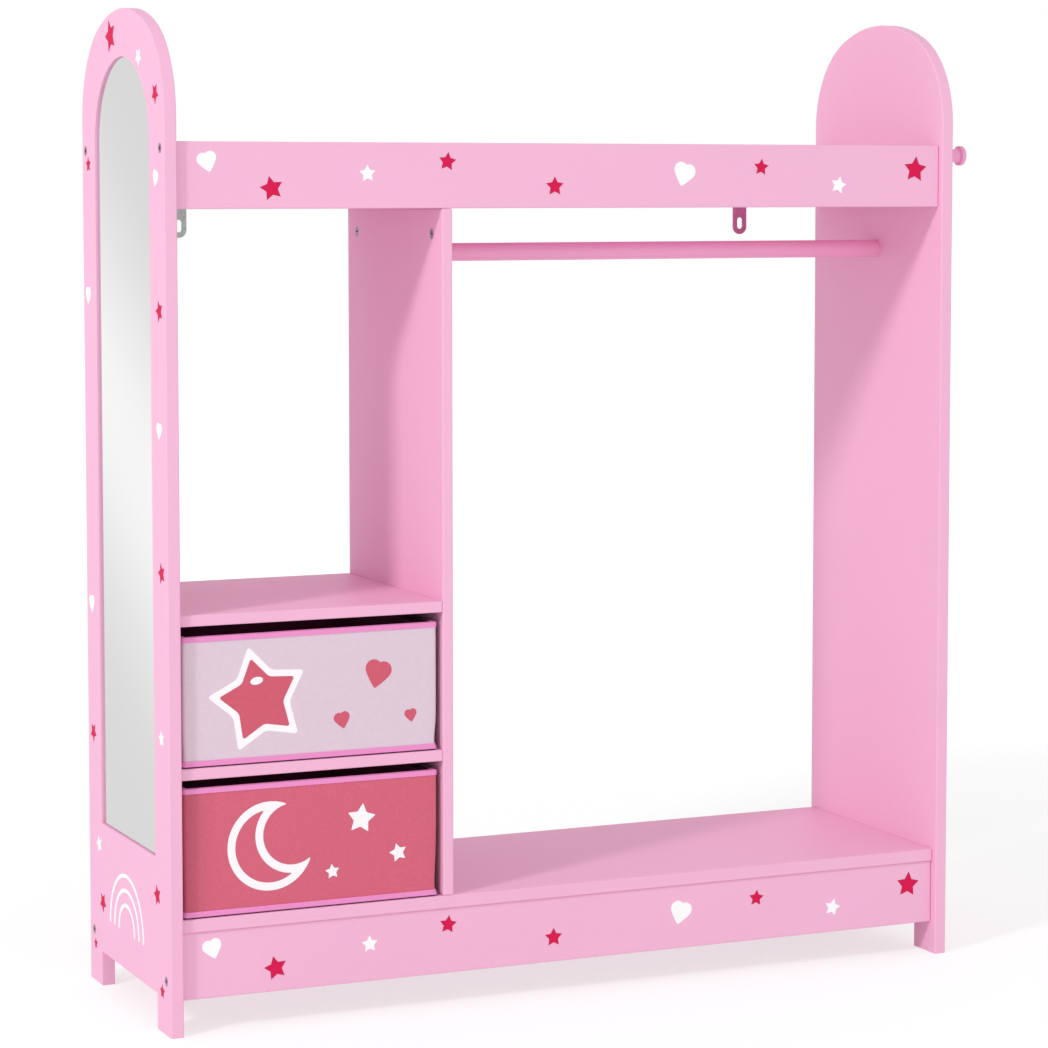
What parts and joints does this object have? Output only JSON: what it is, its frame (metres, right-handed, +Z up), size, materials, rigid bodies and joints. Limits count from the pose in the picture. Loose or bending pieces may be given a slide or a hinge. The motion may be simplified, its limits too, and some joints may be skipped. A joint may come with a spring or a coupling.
{
  "type": "children's dress-up storage unit",
  "caption": "Children's clothes rail unit in pink board with arched sides, a side mirror, hanging bay, top tray, coat pegs and pull-out fabric bins.",
  "frame": {"origin": "on the floor, in the middle of the overall width (coat pegs included) and depth", "axes": "+X to the right along the open front, +Y from the front to the back, +Z up"},
  "size_m": [0.97, 0.292, 1.0659],
  "materials": {
    "painted_board": "satin pink paint on medium-density fibreboard",
    "painted_wood": "satin pink paint on turned wood",
    "mirror": "silvered acrylic sheet",
    "foam_tape": "white foam tape",
    "zinc_steel": "zinc-plated steel",
    "bare_wood": "bare fluted beech",
    "plum_cloth": "dark plum non-woven cloth",
    "pale_print_cloth": "pale lilac printed non-woven cloth",
    "red_print_cloth": "dusty red printed non-woven cloth",
    "binding_tape": "pink binding tape",
    "greyboard": "grey cardboard stiffener"
  },
  "bodies": {
    "carcass": {"left_side_panel": "painted_board", "right_side_panel": "painted_board", "divider_panel": "painted_board", "top_shelf": "painted_board", "top_front_rail": "painted_board", "top_rear_rail": "painted_board", "bin_bay_top_shelf": "painted_board", "bin_bay_middle_shelf": "painted_board", "base_shelf": "painted_board", "base_front_apron": "painted_board", "base_rear_apron": "painted_board", "side_mirror": "mirror", "mirror_tape_strips": "foam_tape", "hanging_rod": "painted_wood", "coat_peg_front": "painted_wood", "coat_peg_rear": "painted_wood", "coat_peg_screws": "zinc_steel", "panel_screws_left": "zinc_steel", "panel_screws_right": "zinc_steel", "divider_foot_screws": "zinc_steel", "cam_locks": "zinc_steel", "cam_bolts": "zinc_steel", "wood_dowels": "bare_wood", "wall_bracket_left": "zinc_steel", "wall_bracket_right": "zinc_steel", "wall_bracket_screws": "zinc_steel"},
    "upper_bin": {"upper_bin_shell": "plum_cloth", "upper_bin_front_cloth": "pale_print_cloth", "upper_bin_rim_binding": "binding_tape", "upper_bin_rim_hem": "plum_cloth", "upper_bin_base_binding": "binding_tape", "upper_bin_wall_cards": "greyboard", "upper_bin_base_board": "plum_cloth"},
    "lower_bin": {"lower_bin_shell": "plum_cloth", "lower_bin_front_cloth": "red_print_cloth", "lower_bin_rim_binding": "binding_tape", "lower_bin_rim_hem": "plum_cloth", "lower_bin_base_binding": "binding_tape", "lower_bin_wall_cards": "greyboard", "lower_bin_base_board": "plum_cloth"}
  },
  "joints": [
    {"name": "upper_bin_slide", "type": "slide", "parent": "carcass", "child": "upper_bin", "axis": [0, -1, 0], "range_m": [0, 0.27]},
    {"name": "lower_bin_slide", "type": "slide", "parent": "carcass", "child": "lower_bin", "axis": [0, -1, 0], "range_m": [0, 0.27]}
  ]
}
